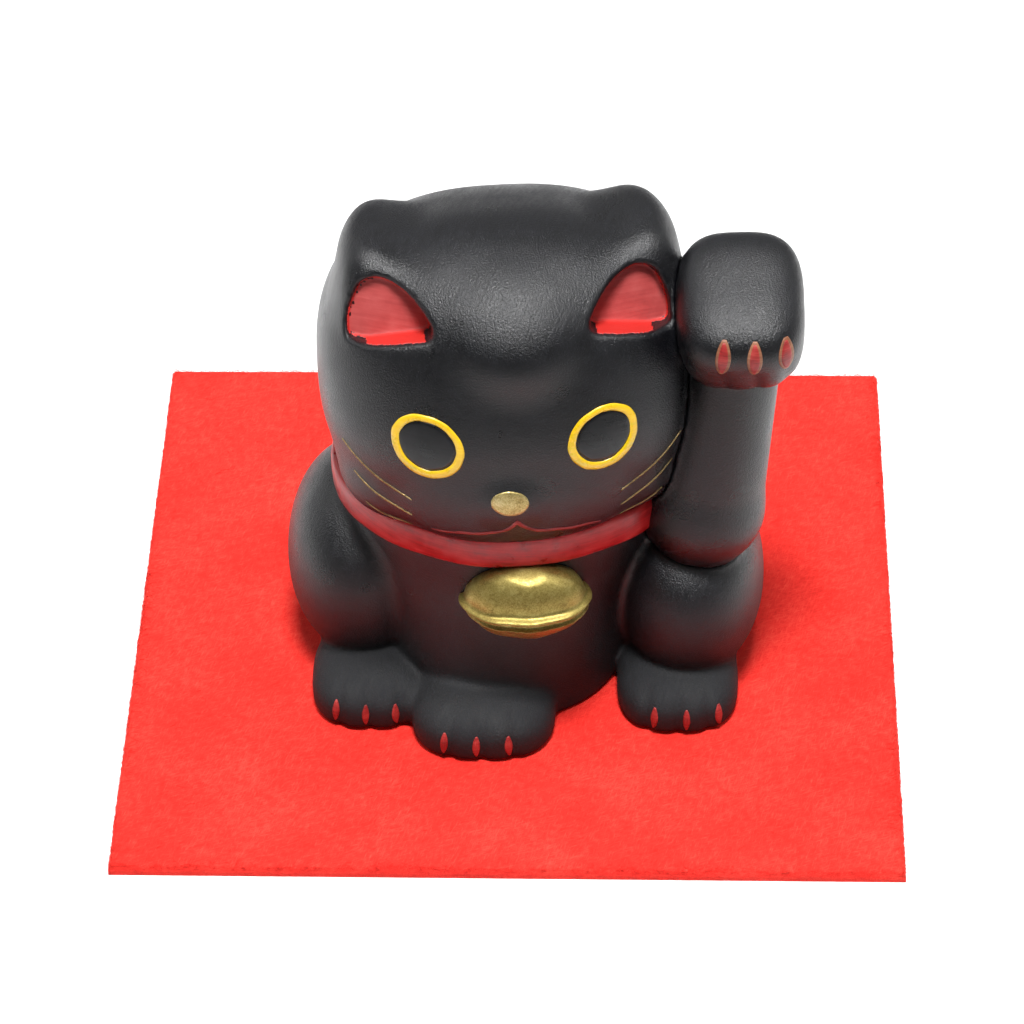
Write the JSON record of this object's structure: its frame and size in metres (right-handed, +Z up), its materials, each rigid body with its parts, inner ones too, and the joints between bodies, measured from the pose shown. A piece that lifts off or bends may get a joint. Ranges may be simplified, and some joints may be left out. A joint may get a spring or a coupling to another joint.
{
  "type": "beckoning cat figurine",
  "caption": "Small seated pottery cat with one raised paw, red collar and gilt bell, sitting on a thin square felt mat.",
  "frame": {"origin": "centre of the felt mat's underside", "axes": "+Z up, the cat faces -Y, the mat's sides lie along X and Y"},
  "size_m": [0.07, 0.07, 0.047],
  "materials": {
    "black_pottery": "satin black glaze with fine brush striations",
    "red_felt": "pressed wool felt, soft fuzzy surface",
    "red_enamel": "satin red enamel",
    "gilt_bell": "satin gilding over cast relief",
    "ear_red": "matte dull red enamel",
    "yellow_enamel": "gloss yellow enamel",
    "pupil_black": "satin black enamel",
    "gilt_paint": "granular gold paint",
    "line_red": "thin red enamel line"
  },
  "bodies": {
    "mat": {"felt_mat": "red_felt"},
    "cat": {"body_casting": "black_pottery", "head_casting": "black_pottery", "raised_arm": "black_pottery", "collar": "red_enamel", "bell": "gilt_bell", "left_ear_lining": "ear_red", "right_ear_lining": "ear_red", "left_eye_ring": "yellow_enamel", "right_eye_ring": "yellow_enamel", "left_pupil": "pupil_black", "right_pupil": "pupil_black", "nose_gilding": "gilt_paint", "mouth_line": "line_red", "left_whiskers": "gilt_paint", "right_whiskers": "gilt_paint", "raised_paw_claws": "line_red", "front_paw_claws": "line_red", "left_foot_claws": "line_red", "right_foot_claws": "line_red"}
  },
  "joints": [
    {"name": "cat_lift", "type": "slide", "parent": "mat", "child": "cat", "axis": [0, 0, 1], "range_m": [0, 0.06]}
  ]
}
